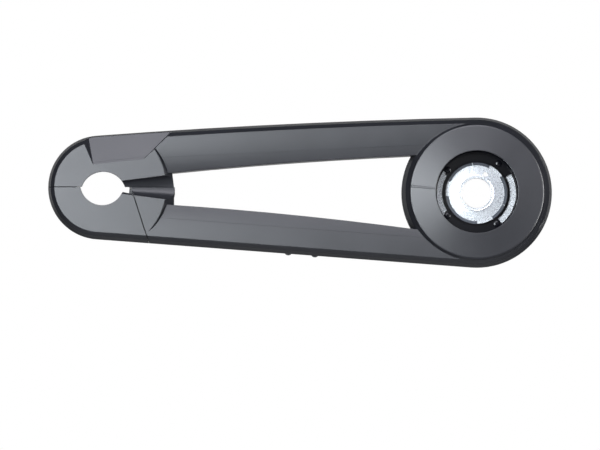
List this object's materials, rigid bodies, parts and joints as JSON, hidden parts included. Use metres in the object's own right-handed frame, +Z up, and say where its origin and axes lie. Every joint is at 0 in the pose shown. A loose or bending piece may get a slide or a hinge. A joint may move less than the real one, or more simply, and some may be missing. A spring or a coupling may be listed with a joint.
{
  "type": "bicycle chain guard",
  "caption": "Full chain case for a city bicycle with a crank opening, an open gap for the chain stay, a removable rear cap and a steel bottom bracket plate.",
  "frame": {"origin": "on the bottom bracket axis, at the back face of the steel plate, where it meets the bracket shell", "axes": "+X forward along the case, +Z up, and -Y outwards, away from the bicycle"},
  "size_m": [0.5925, 0.0412, 0.177],
  "materials": {
    "outer_shell": "semi-gloss moulded",
    "inner_shell": "semi-gloss moulded",
    "rear_cap": "semi-gloss moulded",
    "bracket_ring": "semi-gloss moulded",
    "bb_plate": "zinc plated",
    "plate_rivet_1": "semi-gloss moulded",
    "plate_rivet_2": "semi-gloss moulded",
    "plate_rivet_3": "semi-gloss moulded",
    "plate_rivet_4": "semi-gloss moulded"
  },
  "bodies": {
    "case": {"outer_shell": "outer_shell", "inner_shell": "inner_shell", "bracket_ring": "bracket_ring", "bb_plate": "bb_plate", "plate_rivet_1": "plate_rivet_1", "plate_rivet_2": "plate_rivet_2", "plate_rivet_3": "plate_rivet_3", "plate_rivet_4": "plate_rivet_4"},
    "rear_cap": {"rear_cap": "rear_cap"}
  },
  "joints": [
    {"name": "rear_cap_pull", "type": "slide", "parent": "case", "child": "rear_cap", "axis": [-0.6, 0, -0.8], "range_m": [0, 0.08]}
  ]
}
